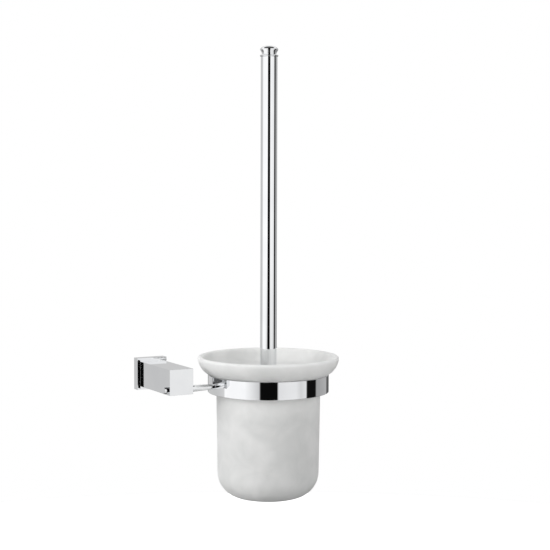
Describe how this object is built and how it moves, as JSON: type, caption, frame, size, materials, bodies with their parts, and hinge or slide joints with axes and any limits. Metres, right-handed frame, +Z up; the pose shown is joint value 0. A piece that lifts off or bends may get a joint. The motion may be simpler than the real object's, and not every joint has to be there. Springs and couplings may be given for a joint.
{
  "type": "toilet brush holder",
  "caption": "Wall-mounted toilet brush holder: a square chrome post with a stepped rosette carries a ring on a thin arm, holding a frosted glass cup and a long-handled brush.",
  "frame": {"origin": "centre of the wall bracket's back face, on the wall plane", "axes": "+Y into the wall, +Z up along the brush handle, +X along the wall from the post towards the cup"},
  "size_m": [0.1575, 0.1443, 0.3812],
  "materials": {
    "chrome": "polished bright chrome plate",
    "steel": "plain machined",
    "zinc": "die-cast zinc, dull",
    "frosted_glass": "etched, cloudy white",
    "liner_plastic": "soft translucent white",
    "core_plastic": "moulded white polypropylene",
    "bristle_nylon": "white nylon bristles"
  },
  "bodies": {
    "bracket": {"wall_bracket": "zinc", "wall_screw_upper": "steel", "wall_screw_lower": "steel", "rosette": "chrome", "rosette_grub_screw": "steel", "post_screw": "steel", "post_block": "chrome", "arm_rod": "chrome", "arm_end_cap": "chrome", "ring_band": "chrome"},
    "liner": {"ring_liner": "liner_plastic"},
    "cup": {"glass_cup": "frosted_glass"},
    "handle": {"handle_tube": "chrome", "finial_collar": "chrome", "handle_finial": "chrome", "handle_end_plug": "steel"},
    "brush_head": {"brush_core": "core_plastic", "bristle_tier_1": "bristle_nylon", "bristle_tier_2": "bristle_nylon", "bristle_tier_3": "bristle_nylon", "bristle_tier_4": "bristle_nylon", "bristle_tier_5": "bristle_nylon", "bristle_tier_6": "bristle_nylon", "bristle_tier_7": "bristle_nylon", "bristle_crown": "bristle_nylon"}
  },
  "joints": [
    {"name": "cup_turn", "type": "hinge", "parent": "bracket", "child": "liner", "pos_m": [0.0841, -0.0604, 0], "axis": [0, 0, 1], "continuous": true},
    {"name": "cup_lift", "type": "slide", "parent": "liner", "child": "cup", "axis": [0, 0, 1], "range_m": [0, 0.112]},
    {"name": "brush_lift", "type": "slide", "parent": "cup", "child": "handle", "axis": [0, 0, 1], "range_m": [0, 0.12]},
    {"name": "head_unscrew", "type": "hinge", "parent": "handle", "child": "brush_head", "pos_m": [0.0841, -0.0604, 0], "axis": [0, 0, -1], "range_deg": [0, 2160]}
  ]
}
